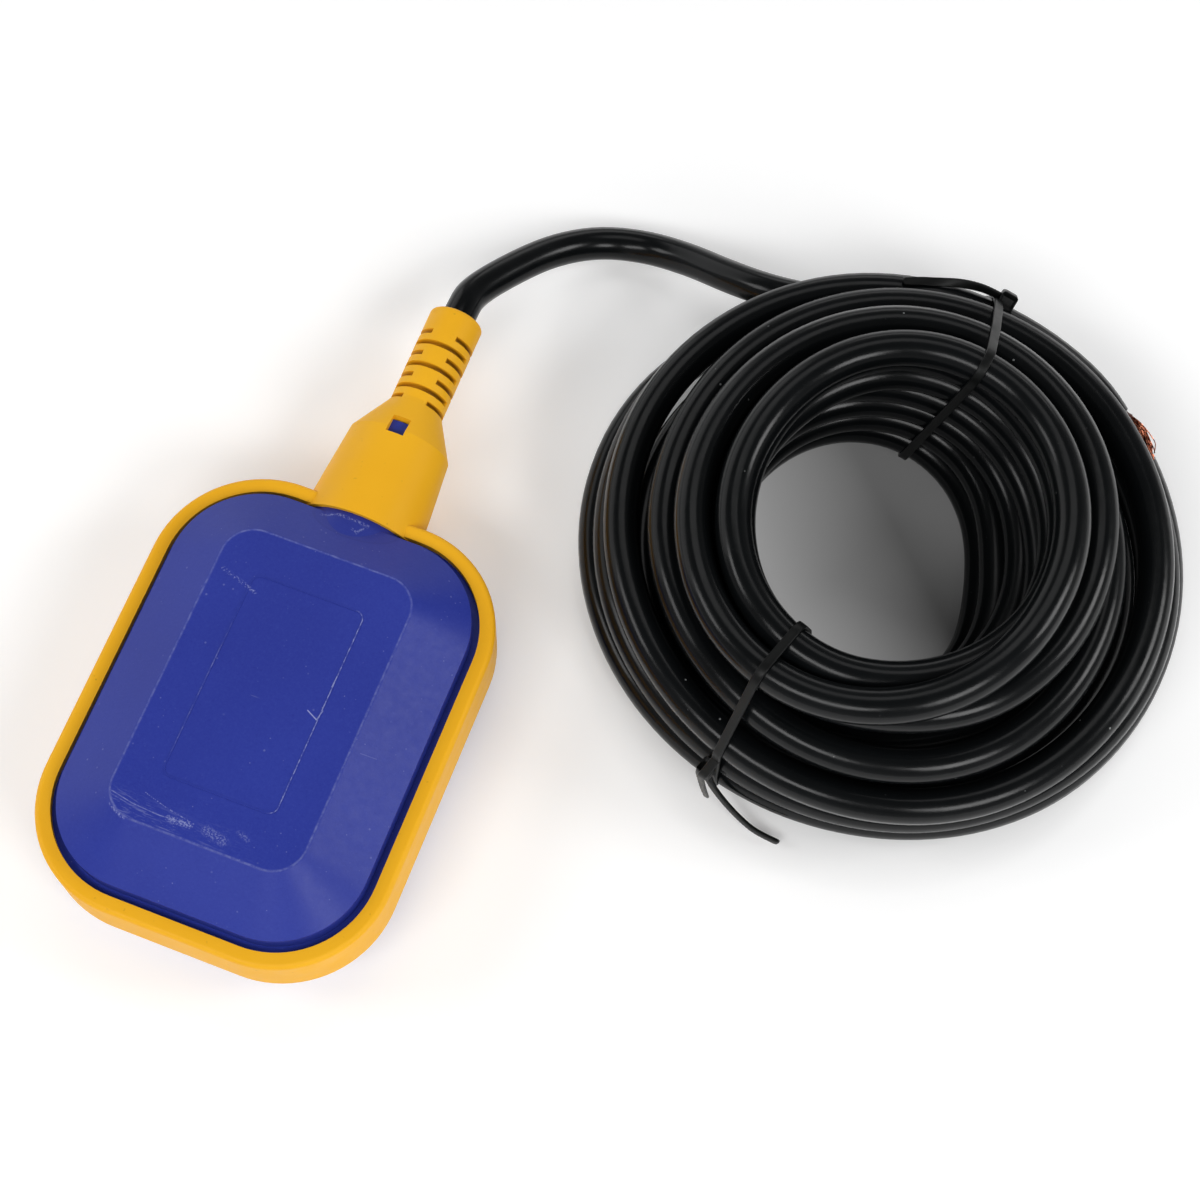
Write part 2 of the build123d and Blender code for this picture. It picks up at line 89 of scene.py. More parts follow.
# turns of the coil about (112, 55): distance from the axis and height, one
# point each 15 degrees, from the lead to the stripped end
COIL_X, COIL_Y = 112.0, 55.0
COIL_START = 7290.0
COIL_STEP = 15.0
COIL = [
    (66.0, 18.1), (67.8, 18.2), (68.6, 17.2), (68.2, 16.2), (67.1, 15.8), (65.7, 15.6), (64.0, 15.4), (62.2, 14.8),
    (60.2, 14.4), (58.3, 14.2), (56.6, 14.1), (55.3, 14.2), (54.6, 14.2), (54.5, 14.3), (55.0, 14.2), (56.2, 14.1),
    (58.1, 14.0), (60.5, 13.8), (63.2, 13.7), (66.1, 13.6), (69.0, 13.4), (71.8, 12.7), (74.2, 12.5), (75.6, 11.9),
    (76.1, 10.8), (75.8, 9.5), (74.8, 8.3), (73.1, 7.3), (70.9, 6.4), (68.3, 5.8), (65.5, 5.4), (62.9, 5.2),
    (60.5, 5.2), (58.0, 5.5), (55.9, 5.8), (54.5, 6.0), (54.1, 6.1), (54.5, 6.2), (55.8, 6.1), (57.8, 6.0),
    (60.5, 5.9), (63.7, 5.8), (67.1, 5.6), (70.1, 5.4), (72.1, 5.2), (72.7, 4.9), (72.4, 4.7), (71.5, 4.9),
    (70.2, 5.2), (68.6, 5.3), (66.7, 5.1), (64.5, 4.9), (62.2, 4.7), (59.6, 4.5), (56.9, 4.4), (54.2, 4.4),
    (51.7, 4.4), (49.4, 4.6), (47.6, 4.8), (46.4, 5.0), (46.0, 5.1), (46.4, 5.2), (47.4, 5.1), (48.9, 4.9),
    (50.7, 4.7), (52.5, 4.5), (54.4, 4.3), (56.1, 4.2), (57.5, 4.1), (58.6, 4.1), (59.3, 4.2), (59.6, 4.6),
    (59.4, 5.2), (58.8, 5.9), (57.8, 6.8), (56.5, 7.8), (55.0, 8.8), (53.4, 9.8), (51.8, 10.7), (50.3, 11.5),
    (48.9, 12.1), (47.7, 12.6), (46.8, 12.9), (46.1, 13.1), (45.9, 13.3), (46.1, 13.3), (46.9, 13.2), (48.1, 13.0),
    (49.6, 12.8), (51.3, 12.6), (53.0, 12.4), (54.5, 12.2), (55.9, 12.1), (56.9, 12.0), (57.5, 12.2), (57.7, 12.5),
    (57.8, 13.2), (57.7, 14.0), (57.4, 14.9), (56.8, 15.9), (56.0, 16.8), (55.0, 17.8), (53.9, 18.6), (52.8, 19.2),
    (51.7, 19.7), (50.7, 20.1), (49.9, 20.4), (49.4, 20.6), (49.2, 20.7), (49.4, 20.7), (50.1, 20.7), (51.1, 20.6),
    (52.2, 20.6), (53.4, 20.6), (54.6, 20.6), (55.7, 20.6), (56.6, 20.6), (57.1, 20.7), (57.4, 20.9), (57.2, 21.1),
    (56.6, 21.5), (55.7, 21.9), (54.4, 22.5), (53.0, 23.1), (51.5, 23.8), (50.0, 24.5), (48.6, 25.2), (47.4, 25.8),
    (46.3, 26.3), (45.5, 26.7), (44.9, 27.1), (44.7, 27.3), (44.7, 27.4), (45.0, 27.5), (45.6, 27.6), (46.4, 27.8),
    (47.1, 28.0), (47.9, 28.2), (48.5, 28.5), (49.0, 28.8), (49.3, 29.1), (49.5, 29.3), (49.3, 29.4), (48.8, 29.3),
    (48.0, 29.1), (47.0, 28.6), (45.7, 27.8), (44.3, 26.8), (42.9, 25.7), (41.7, 24.6), (40.6, 23.6), (39.8, 22.7),
    (39.4, 22.0), (39.3, 21.4), (39.4, 21.0), (39.8, 20.7), (40.3, 20.5), (41.1, 20.4), (41.9, 20.4), (42.9, 20.4),
    (43.9, 20.5), (45.1, 20.6), (46.2, 20.7), (47.3, 20.9), (48.2, 21.0), (48.8, 21.2), (49.2, 21.2), (49.0, 21.2),
    (48.3, 21.0), (47.2, 20.5), (45.9, 19.6), (44.4, 18.6), (42.8, 17.5), (41.2, 16.5), (39.7, 15.5), (38.5, 14.7),
    (37.5, 14.1), (36.7, 13.7), (36.3, 13.5), (36.3, 13.4), (36.6, 13.3), (37.2, 13.3), (38.2, 13.1), (39.6, 13.0),
    (41.2, 12.8), (42.9, 12.7), (44.6, 12.7), (46.3, 12.7), (47.7, 12.8), (48.7, 12.9), (49.4, 13.0), (49.6, 13.1),
    (49.7, 13.1), (49.3, 12.6), (48.4, 11.9), (47.2, 10.9), (45.8, 9.8), (44.3, 8.7), (42.9, 7.7), (41.5, 6.9),
    (40.2, 6.3), (39.2, 5.8), (38.3, 5.6), (37.8, 5.4), (37.8, 5.3), (38.2, 5.2), (39.2, 5.1), (40.6, 4.9),
    (42.4, 4.8), (44.3, 4.7), (46.2, 4.6), (47.9, 4.6), (49.3, 4.6), (50.3, 4.6), (50.5, 4.8), (49.7, 5.0),
    (48.2, 5.2), (46.2, 5.1), (44.0, 5.0), (41.7, 4.9), (39.5, 4.7), (37.3, 4.5), (35.4, 4.3), (33.8, 4.1),
    (32.4, 4.0), (31.2, 4.0), (30.2, 4.3), (29.7, 4.6), (29.6, 4.9), (30.0, 5.2), (31.0, 5.3), (32.4, 5.3),
    (34.0, 5.3), (35.9, 5.4), (37.8, 5.7), (39.6, 6.0), (41.2, 6.4), (42.3, 6.9), (42.7, 7.2), (41.9, 7.4),
    (39.8, 7.4), (36.6, 7.2), (32.8, 7.1), (29.2, 7.1), (26.5, 7.4), (25.3, 7.9), (25.4, 8.7), (26.4, 9.6),
    (27.4, 10.4), (27.7, 11.3), (27.9, 12.0), (28.1, 12.6), (28.4, 13.0), (29.0, 13.2), (30.0, 13.3), (31.4, 13.3),
    (33.0, 13.4), (34.7, 13.5), (36.5, 13.7), (38.2, 14.0), (39.6, 14.4), (40.8, 14.9), (41.5, 15.2), (41.4, 15.5),
    (40.3, 15.5), (38.0, 15.3), (34.6, 15.2), (31.1, 15.1), (28.6, 15.2), (27.8, 15.7), (28.1, 16.5), (29.0, 17.3),
    (29.9, 18.2), (30.5, 19.0), (30.7, 19.7), (30.8, 20.2), (30.9, 20.7), (31.3, 21.0), (31.9, 21.2), (32.8, 21.3),
    (33.9, 21.4), (35.3, 21.6), (36.8, 21.8), (38.3, 22.1), (39.6, 22.5), (40.6, 23.0), (41.2, 23.3), (41.2, 23.6),
    (40.6, 23.5), (39.2, 23.3), (37.3, 23.0), (35.2, 22.8), (33.2, 22.9), (32.1, 23.3), (31.6, 24.1), (31.7, 25.0),
    (32.2, 25.9), (33.0, 26.7), (33.8, 27.2), (34.7, 27.4), (35.7, 27.3), (36.6, 27.2), (37.4, 27.2), (38.2, 27.4),
    (39.0, 27.8), (39.7, 28.5), (40.3, 29.2), (40.9, 29.8), (41.3, 30.5), (41.5, 31.0), (41.4, 31.4), (41.0, 31.7),
    (40.3, 31.6), (39.3, 31.4), (38.1, 31.1), (36.9, 30.7), (35.9, 30.5), (35.7, 30.6), (36.2, 30.8), (37.0, 31.2),
    (37.9, 31.8), (38.6, 32.6), (39.0, 33.4), (39.3, 34.1), (39.2, 34.7), (38.7, 35.0), (37.8, 35.2), (36.8, 35.3),
    (35.8, 35.4), (35.2, 35.6), (35.0, 36.0), (35.3, 36.6), (36.1, 37.3), (37.4, 38.2), (39.0, 39.2), (40.3, 39.8),
    (40.5, 39.8), (40.1, 39.5), (39.3, 39.1), (38.4, 38.8), (37.6, 38.6), (36.9, 38.7), (36.4, 38.9), (36.0, 39.2),
    (35.6, 39.6), (35.1, 40.0), (34.7, 40.4), (34.4, 40.8), (34.4, 41.2), (34.3, 41.8), (34.1, 42.4), (33.7, 42.9),
    (33.3, 43.3), (33.3, 43.6), (33.7, 44.1), (34.6, 44.7), (36.0, 45.4), (37.9, 46.3), (39.8, 47.3), (41.0, 47.8),
    (41.0, 47.8), (40.3, 47.6), (39.3, 47.2), (38.6, 46.9), (38.0, 46.8), (37.5, 46.8), (37.0, 47.0), (36.6, 47.3),
    (36.3, 47.6), (36.3, 48.0), (36.5, 48.5), (36.9, 49.0), (37.3, 49.3), (37.1, 49.7), (36.5, 50.2), (35.8, 50.7),
    (35.0, 51.2), (34.5, 51.7), (34.3, 52.2), (34.5, 52.8), (35.1, 53.5), (36.1, 54.3), (37.3, 55.0), (38.2, 55.5),
    (38.7, 55.6), (38.7, 55.5), (38.5, 55.3), (38.1, 55.2), (37.6, 55.1), (37.3, 55.1), (37.4, 55.2), (38.0, 55.3),
    (39.4, 55.1), (41.1, 54.6), (42.8, 53.7), (44.2, 52.6), (45.2, 51.5), (45.6, 50.6), (45.2, 49.9), (44.4, 49.3),
    (43.6, 48.8), (43.3, 48.3), (43.4, 47.6), (44.0, 47.1), (45.1, 46.7), (46.5, 46.5), (47.9, 46.5), (49.1, 46.5),
    (49.6, 46.4), (49.5, 46.3), (48.9, 46.0), (47.9, 45.6), (46.6, 45.1), (45.3, 44.5), (44.5, 43.9), (44.1, 43.5),
    (43.9, 43.2), (43.6, 43.1), (42.8, 43.1), (42.3, 43.0), (42.4, 42.8), (42.5, 42.5), (42.3, 42.1), (42.0, 41.6),
    (41.8, 41.0), (41.9, 40.3), (42.4, 39.6), (43.3, 38.9), (44.5, 38.4), (45.8, 37.9), (47.1, 37.6), (48.1, 37.4),
    (48.9, 37.1), (49.3, 36.6), (49.6, 36.0), (49.7, 35.4), (49.7, 34.8), (49.7, 34.3), (49.8, 33.8), (50.2, 33.4),
    (50.8, 33.1), (51.2, 33.0), (51.0, 33.1), (50.3, 33.6), (49.4, 34.2), (48.5, 34.9), (47.8, 35.4), (47.7, 35.8),
    (48.2, 36.0), (49.0, 36.2), (49.9, 36.5), (51.3, 36.9), (53.2, 37.2), (55.3, 37.4), (57.3, 37.3), (59.1, 36.8),
    (60.4, 35.9), (61.4, 34.7), (62.0, 33.2), (62.2, 31.5), (62.1, 29.7), (61.6, 28.0), (60.9, 26.5), (60.2, 25.3),
    (59.6, 24.5), (58.8, 24.2), (57.7, 24.4), (56.5, 24.9), (55.7, 25.7), (55.2, 26.4), (55.2, 27.0), (55.7, 27.4),
    (56.8, 27.7), (58.5, 28.1), (60.5, 28.5), (62.5, 28.9), (64.2, 29.2), (65.5, 29.6), (66.3, 30.0), (66.7, 29.6),
    (66.8, 28.4), (66.8, 27.3), (66.8, 26.4),
]


def coil_point(i, r, z):
    a = math.radians(COIL_START - COIL_STEP * i)
    return (COIL_X + r * math.cos(a), COIL_Y + r * math.sin(a), z)


CORD_R = 4.0
LAST = (150.7, 108.3, 25.1)
cord_points = LEAD + [coil_point(i, r, z) for i, (r, z) in enumerate(COIL)] + [LAST]


def nurbs(name, points, radius, resolution=5, bevel=5):
    """A NURBS spline with these control points (mm), order 3."""
    data = bpy.data.curves.new(name, "CURVE")
    data.dimensions = "3D"
    s = data.splines.new("NURBS")
    s.points.add(len(points) - 1)
    for p, c in zip(s.points, points):
        p.co = (c[0] * MM, c[1] * MM, c[2] * MM, 1.0)
    s.order_u = 3
    s.use_endpoint_u = True
    data.resolution_u = resolution
    s.resolution_u = resolution
    data.bevel_depth = radius * MM
    data.bevel_resolution = bevel
    data.use_fill_caps = True
    obj = bpy.data.objects.new(name, data)
    scene.collection.objects.link(obj)
    return obj


def centre_line(points, resolution=5):
    """Points along the line that nurbs() draws, in mm."""
    obj = nurbs("line_tmp", points, 0.0, resolution)
    obj.data.bevel_depth = 0.0
    mesh = bpy.data.meshes.new_from_object(obj)
    out = [v.co / MM for v in mesh.vertices]
    bpy.data.objects.remove(obj)
    bpy.data.meshes.remove(mesh)
    return out


cord = nurbs("cable", cord_points, CORD_R)
cord_line = centre_line(cord_points)


# --------------------------------------------------------------- materials
def srgb(r, g, b):
    def f(c):
        c = c / 255.0
        return c / 12.92 if c <= 0.04045 else ((c + 0.055) / 1.055) ** 2.4
    return (f(r), f(g), f(b), 1.0)


class Mat:
    """A small helper to write node materials."""

    def __init__(self, name):
        self.m = bpy.data.materials.new(name)
        self.m.use_nodes = True
        self.t = self.m.node_tree
        self.bsdf = self.t.nodes["Principled BSDF"]
        self.co = self.t.nodes.new("ShaderNodeTexCoord").outputs["Object"]

    def node(self, kind, **inputs):
        n = self.t.nodes.new(kind)
        for k, v in inputs.items():
            if k in n.inputs:
                self.put(n.inputs[k], v)
            else:
                setattr(n, k, v)
        return n

    def put(self, socket, v):
        if isinstance(v, bpy.types.NodeSocket):
            self.t.links.new(v, socket)
        else:
            socket.default_value = v

    def scaled(self, sx, sy, sz, rot=(0, 0, 0)):
        n = self.t.nodes.new("ShaderNodeMapping")
        n.inputs["Scale"].default_value = (sx, sy, sz)
        n.inputs["Rotation"].default_value = rot
        self.t.links.new(self.co, n.inputs["Vector"])
        return n.outputs["Vector"]

    def noise(self, scale, detail=3.0, rough=0.5, vector=None, dist=0.0):
        n = self.t.nodes.new("ShaderNodeTexNoise")
        n.inputs["Scale"].default_value = scale
        n.inputs["Detail"].default_value = detail
        n.inputs["Roughness"].default_value = rough
        n.inputs["Distortion"].default_value = dist
        self.t.links.new(vector or self.co, n.inputs["Vector"])
        return n.outputs["Fac"]

    def voronoi(self, scale, feature="F1", vector=None):
        n = self.t.nodes.new("ShaderNodeTexVoronoi")
        n.feature = feature
        n.inputs["Scale"].default_value = scale
        self.t.links.new(vector or self.co, n.inputs["Vector"])
        return n.outputs["Distance"]

    def ramp(self, fac, stops):
        n = self.t.nodes.new("ShaderNodeValToRGB")
        self.t.links.new(fac, n.inputs["Fac"])
        els = n.color_ramp.elements
        while len(els) < len(stops):
            els.new(0.5)
        for e, (p, c) in zip(els, stops):
            e.position = p
            e.color = c if len(c) == 4 else (*c, 1.0)
        return n.outputs["Color"]

    def span(self, fac, a, b, lo=0.0, hi=1.0):
        """Map fac from a..b to lo..hi, clamped."""
        n = self.t.nodes.new("ShaderNodeMapRange")
        self.put(n.inputs["Value"], fac)
        n.inputs["From Min"].default_value = a
        n.inputs["From Max"].default_value = b
        n.inputs["To Min"].default_value = lo
        n.inputs["To Max"].default_value = hi
        return n.outputs["Result"]

    def math(self, op, a, b=0.0, c=0.0):
        n = self.t.nodes.new("ShaderNodeMath")
        n.operation = op
        for s, v in zip(n.inputs, (a, b, c)):
            self.put(s, v)
        return n.outputs[0]

    def xyz_mm(self):
        """Object coordinates, in mm."""
        n = self.t.nodes.new("ShaderNodeSeparateXYZ")
        self.t.links.new(self.co, n.inputs[0])
        return [self.math("MULTIPLY", o, 1000.0) for o in n.outputs]

    def top(self, *vals):
        out = vals[0]
        for v in vals[1:]:
            out = self.math("MAXIMUM", out, v)
        return out

    def times(self, *vals):
        out = vals[0]
        for v in vals[1:]:
            out = self.math("MULTIPLY", out, v)
        return out

    def line(self, x, y, a, b, width, soft=0.1):
        """1 on the stroke from a to b (mm), 0 away from it."""
        dx, dy = b[0] - a[0], b[1] - a[1]
        ll = dx * dx + dy * dy
        px, py = self.math("SUBTRACT", x, a[0]), self.math("SUBTRACT", y, a[1])
        t = self.math("MULTIPLY_ADD", px, dx / ll, self.math("MULTIPLY", py, dy / ll))
        t = self.math("MINIMUM", self.math("MAXIMUM", t, 0.0), 1.0)
        ex = self.math("MULTIPLY_ADD", t, -dx, px)
        ey = self.math("MULTIPLY_ADD", t, -dy, py)
        d = self.math("SQRT", self.math("MULTIPLY_ADD", ex, ex, self.math("MULTIPLY", ey, ey)))
        return self.span(d, width / 2 + soft, width / 2)

    def mix(self, fac, a, b):
        n = self.t.nodes.new("ShaderNodeMix")
        n.data_type = "RGBA"
        self.put(n.inputs[0], fac)
        self.put(n.inputs[6], a)
        self.put(n.inputs[7], b)
        return n.outputs[2]

    def bump(self, height, strength, distance, normal=None):
        n = self.t.nodes.new("ShaderNodeBump")
        n.inputs["Strength"].default_value = strength
        n.inputs["Distance"].default_value = distance
        self.t.links.new(height, n.inputs["Height"])
        if normal is not None:
            self.t.links.new(normal, n.inputs["Normal"])
        return n.outputs["Normal"]

    def set(self, **kw):
        names = {"color": "Base Color", "rough": "Roughness", "metal": "Metallic",
                 "normal": "Normal", "coat": "Coat Weight", "coat_rough": "Coat Roughness",
                 "ior": "IOR", "spec": "Specular IOR Level", "sss": "Subsurface Weight",
                 "sss_scale": "Subsurface Scale", "sheen": "Sheen Weight"}
        for k, v in kw.items():
            self.put(self.bsdf.inputs[names[k]], v)
        return self.m


def m_blue():
    k = Mat("shell_blue")
    x, y, z = k.xyz_mm()
    big = k.noise(35, 3, 0.5)
    base = k.mix(k.span(big, 0.35, 0.65), (0.0180, 0.0330, 0.290, 1), (0.0210, 0.0380, 0.315, 1))
    # moulded grain: fine lighter and darker flecks
    fleck = k.noise(1900, 3, 0.75)
    base = k.mix(k.span(fleck, 0.52, 0.78, 0.0, 0.30), base, (0.045, 0.070, 0.36, 1))
    base = k.mix(k.span(fleck, 0.44, 0.24, 0.0, 0.35), base, (0.007, 0.015, 0.19, 1))
    mottle = k.noise(1000, 3, 0.7)
    base = k.mix(k.span(mottle, 0.55, 0.78, 0.0, 0.22), base, (0.050, 0.075, 0.40, 1))
    base = k.mix(k.span(mottle, 0.42, 0.24, 0.0, 0.25), base, (0.010, 0.020, 0.23, 1))
    face = k.span(z, 36.55, 36.8)
    # distance from the edge of the raised face, negative inside
    qx = k.math("SUBTRACT", k.math("ABSOLUTE", x), 14.7)
    qy = k.math("SUBTRACT", k.math("ABSOLUTE", k.math("ADD", y, 26.92)), 27.45)
    ox, oy = k.math("MAXIMUM", qx, 0.0), k.math("MAXIMUM", qy, 0.0)
    far = k.math("SQRT", k.math("MULTIPLY_ADD", ox, ox, k.math("MULTIPLY", oy, oy)))
    near = k.math("MINIMUM", k.math("MAXIMUM", qx, qy), 0.0)
    edge = k.math("SUBTRACT", k.math("ADD", far, near), 7.5)
    top_side = k.span(z, 30.0, 34.0)
    # painted highlight: a thin pale line along the upper edge of the raised face, broken up by noise
    painted_edge_highlight = k.span(k.math("ABSOLUTE", k.math("ADD", edge, 0.22)), 0.34, 0.08)
    edge_highlight_breakup = k.span(k.noise(700, 3, 0.7), 0.40, 0.66)
    painted_edge_highlight = k.times(painted_edge_highlight, k.math("MULTIPLY_ADD", edge_highlight_breakup, 0.75, 0.25), top_side)
    # streaks rubbed along the lower edge of the face, strongest to the left
    streak = k.noise(1.0, 3, 0.65, k.scaled(230, 2300, 900))
    fine = k.noise(1.0, 2, 0.6, k.scaled(900, 3600, 900))
    band = k.times(k.span(y, -55.2, -58.6), k.span(edge, 0.05, -0.10), k.span(x, 15.0, -4.0),
                   face)
    patch = k.span(k.noise(170, 2, 0.5), 0.38, 0.60, 0.25, 1.0)
    rub = k.times(k.span(streak, 0.55, 0.70), band, patch)
    rub2 = k.times(k.span(fine, 0.60, 0.74), band, patch)
    # thin scored lines and flecks beside them, along the same edge
    grit = k.span(k.noise(2400, 2, 0.7), 0.47, 0.60)
    score = k.times(k.top(k.line(x, y, (-20.9, -57.4), (-15.7, -58.4), 0.08),
                          k.line(x, y, (-15.7, -58.4), (-9.4, -58.75), 0.10),
                          k.line(x, y, (-9.4, -58.75), (-3.4, -58.3), 0.10),
                          k.times(k.line(x, y, (-20.7, -58.1), (-15.6, -58.9), 0.06), 0.7),
                          k.times(k.line(x, y, (-20.0, -56.6), (-14.4, -57.9), 0.05), 0.45)),
                    k.span(k.noise(700, 3, 0.7), 0.36, 0.60, 0.10, 1.0))
    hot = k.top(k.line(x, y, (-7.4, -58.7), (-2.6, -58.5), 0.7, 0.5),
                k.times(k.line(x, y, (-14.1, -55.3), (-8.9, -56.7), 0.05, 0.12), 0.9),
                k.times(k.line(x, y, (-8.9, -56.7), (-2.0, -57.9), 0.05, 0.15), 0.9),
                k.times(k.line(x, y, (1.0, -58.2), (5.2, -59.1), 0.8, 1.0), 0.6),
                k.times(k.line(x, y, (7.6, -56.2), (9.8, -57.0), 0.4, 0.6), 0.4),
                k.times(k.line(x, y, (-20.4, -60.2), (-16.2, -62.0), 0.2, 0.4), 0.8))
    hot = k.top(k.times(hot, grit, face), k.times(score, face, 0.8))
    # scratches and dotted scuffs on the face
    dots = k.times(k.line(x, y, (-20.0, -3.3), (-11.2, -6.0), 0.25, 0.45),
                   k.span(k.noise(2000, 2, 0.6), 0.52, 0.63))
    cut = k.top(k.line(x, y, (10.1, -26.55), (12.7, -27.85), 0.13),
                k.times(k.line(x, y, (12.6, -27.8), (13.15, -25.6), 0.08), 0.8),
                k.times(k.line(x, y, (13.15, -25.6), (12.7, -24.8), 0.08), 0.6),
                k.times(k.line(x, y, (12.9, -17.4), (12.75, -19.9), 0.12), 0.8),
                k.times(k.line(x, y, (24.0, -31.0), (27.2, -30.4), 0.10), 0.18))
    # the raised border, painted pale in broken strokes along its right side and fainter on its left
    bx = k.math("SUBTRACT", k.math("ABSOLUTE", x), 10.92)
    by = k.math("SUBTRACT", k.math("ABSOLUTE", k.math("ADD", y, 26.17)), 22.12)
    bo = k.math("SQRT", k.math("MULTIPLY_ADD", k.math("MAXIMUM", bx, 0.0), k.math("MAXIMUM", bx, 0.0),
                               k.math("POWER", k.math("MAXIMUM", by, 0.0), 2.0)))
    bd = k.math("SUBTRACT", k.math("ADD", bo, k.math("MINIMUM", k.math("MAXIMUM", bx, by), 0.0)), 2.0)
    bd = k.math("ABSOLUTE", bd)
    pale_right_border = k.times(k.span(bd, 0.16, 0.05), k.span(x, 10.6, 11.8), k.span(y, -50.6, -49.6),
                        k.span(k.noise(1.0, 3, 0.7, k.scaled(1500, 900, 1500)), 0.42, 0.60, 0.08, 0.62))
    left_line = k.times(k.span(bd, 0.16, 0.05), k.span(x, -12.0, -12.6),
                        k.span(y, -12.0, -20.0), k.span(y, -47.0, -42.0),
                        k.span(k.noise(1.0, 3, 0.7, k.scaled(1200, 420, 1200)), 0.42, 0.66, 0.02, 0.34))
    lines = k.times(k.top(pale_right_border, left_line), k.span(z, 36.9, 37.0))
    # a few hairlines and specks everywhere
    hair = k.noise(60, 2, 0.6, k.scaled(1.0, 14.0, 6.0, (0, 0, 0.9)))
    hair = k.times(k.span(hair, 0.74, 0.76), k.span(k.noise(45, 2, 0.5), 0.5, 0.62), 0.14)
    speck = k.top(k.times(k.span(k.voronoi(520), 0.10, 0.04), k.span(k.noise(120, 2, 0.5), 0.46, 0.66), 0.36),
                  k.times(k.span(k.voronoi(290), 0.085, 0.05), k.span(k.noise(75, 2, 0.5), 0.42, 0.60), 0.22))
    bulge = k.times(k.top(k.line(x, y, (-7.0, 18.6), (-3.5, 19.9), 0.1, 0.4),
                          k.line(x, y, (-3.5, 19.9), (3.8, 19.5), 0.25, 0.45),
                          k.line(x, y, (3.2, 18.4), (2.2, 16.6), 0.15, 0.4),
                          k.line(x, y, (0.7, 17.4), (2.3, 16.9), 0.1, 0.35)),
                    k.span(k.noise(2100, 2, 0.6), 0.47, 0.60), k.span(z, 26.0, 27.0))
    # the flat where the collar meets the wall, outlined and a little deeper in tone
    ex = k.math("DIVIDE", k.math("SUBTRACT", x, 0.8), 10.2)
    ey = k.math("DIVIDE", k.math("SUBTRACT", y, 19.7), 5.2)
    ell = k.math("SQRT", k.math("MULTIPLY_ADD", ex, ex, k.math("MULTIPLY", ey, ey)))
    upper = k.times(k.span(z, 27.0, 28.0), k.span(y, 13.0, 14.0))
    flat = k.times(k.span(ell, 1.0, 0.93), upper)
    outline = k.times(k.span(k.math("ABSOLUTE", k.math("SUBTRACT", ell, 0.98)), 0.055, 0.02), upper)
    base = k.mix(k.times(flat, 0.35), base, (0.012, 0.026, 0.262, 1))
    base = k.mix(k.times(outline, 0.30), base, (0.008, 0.017, 0.19, 1))
    # pale marks: scuffs, scratches, specks and border lines, plus the painted edge highlight
    wear_and_painted_highlight = k.top(k.times(painted_edge_highlight, 0.30), k.times(rub, 0.32), k.times(rub2, 0.30),
                 k.times(hot, 0.62), k.times(dots, face, 0.48), k.times(cut, 0.72),
                 lines, hair, speck, k.times(bulge, 0.5))
    wear_and_painted_highlight = k.math("MINIMUM", wear_and_painted_highlight, 1.0)
    color = k.mix(wear_and_painted_highlight, base, (0.36, 0.40, 0.68, 1))
    n = k.bump(k.noise(2600, 2, 0.6), 0.10, 0.00012)
    n = k.bump(k.noise(90, 2, 0.5), 0.08, 0.0006, n)
    rough = k.span(k.noise(520, 4, 0.7), 0.3, 0.7, 0.37, 0.45)
    rough = k.math("ADD", rough, k.math("MULTIPLY", wear_and_painted_highlight, 0.25))
    return k.set(color=color, rough=rough, normal=n, spec=0.28)


def m_yellow():
    k = Mat("rubber_yellow")
    big = k.noise(28, 3, 0.55)
    base = k.mix(k.span(big, 0.3, 0.7), (0.89, 0.432, 0.006, 1), (0.93, 0.470, 0.010, 1))
    specks = k.span(k.noise(700, 2, 0.7), 0.70, 0.80)
    color = k.mix(k.math("MULTIPLY", specks, 0.4), base, srgb(176, 118, 22))
    dirt = k.times(k.span(k.voronoi(230), 0.07, 0.03), k.span(k.noise(60, 2, 0.5), 0.5, 0.62), 0.45)
    color = k.mix(dirt, color, srgb(120, 86, 30))
    # painted shade: the slots of the bend relief are painted dark brown where shade falls in them, darkest on the
    # right
    x, y, z = k.xyz_mm()
    up = k.math("SUBTRACT", z, 18.5)
    r = k.math("SQRT", k.math("MULTIPLY_ADD", x, x, k.math("MULTIPLY", up, up)))
    painted_slot_shade = k.times(k.span(r, 6.35, 5.5), k.span(y, 53.2, 53.7), k.span(y, 74.4, 73.9),
                   k.span(x, -1.0, 2.5, 0.42, 0.72))
    color = k.mix(painted_slot_shade, color, srgb(92, 44, 8))
    grain = k.noise(1500, 3, 0.6)
    wave = k.noise(150, 3, 0.5)
    n = k.bump(grain, 0.16, 0.00015)
    n = k.bump(wave, 0.10, 0.0005, n)
    rough = k.span(k.noise(220, 3, 0.6), 0.3, 0.7, 0.46, 0.60)
    return k.set(color=color, rough=rough, normal=n, spec=0.27)


def m_cable():
    k = Mat("cable_black")
    big = k.noise(30, 3, 0.5)
    base = k.mix(k.span(big, 0.3, 0.7), (0.0028, 0.0034, 0.0037, 1), (0.0042, 0.0049, 0.0055, 1))
    dust = k.span(k.noise(900, 2, 0.6), 0.735, 0.79)
    base = k.mix(k.math("MULTIPLY", dust, 0.16), base, (0.10, 0.10, 0.105, 1))
    speck = k.times(k.span(k.voronoi(165), 0.045, 0.03), k.span(k.noise(50, 2, 0.5), 0.5, 0.56))
    base = k.mix(k.math("MULTIPLY", speck, 0.7), base, (0.30, 0.31, 0.31, 1))
    n = k.bump(k.noise(1100, 3, 0.6), 0.08, 0.00010)
    n = k.bump(k.noise(120, 2, 0.5), 0.10, 0.0005, n)
    rough = k.span(k.noise(140, 4, 0.6), 0.3, 0.7, 0.17, 0.25)
    return k.set(color=base, rough=rough, normal=n, spec=0.23)


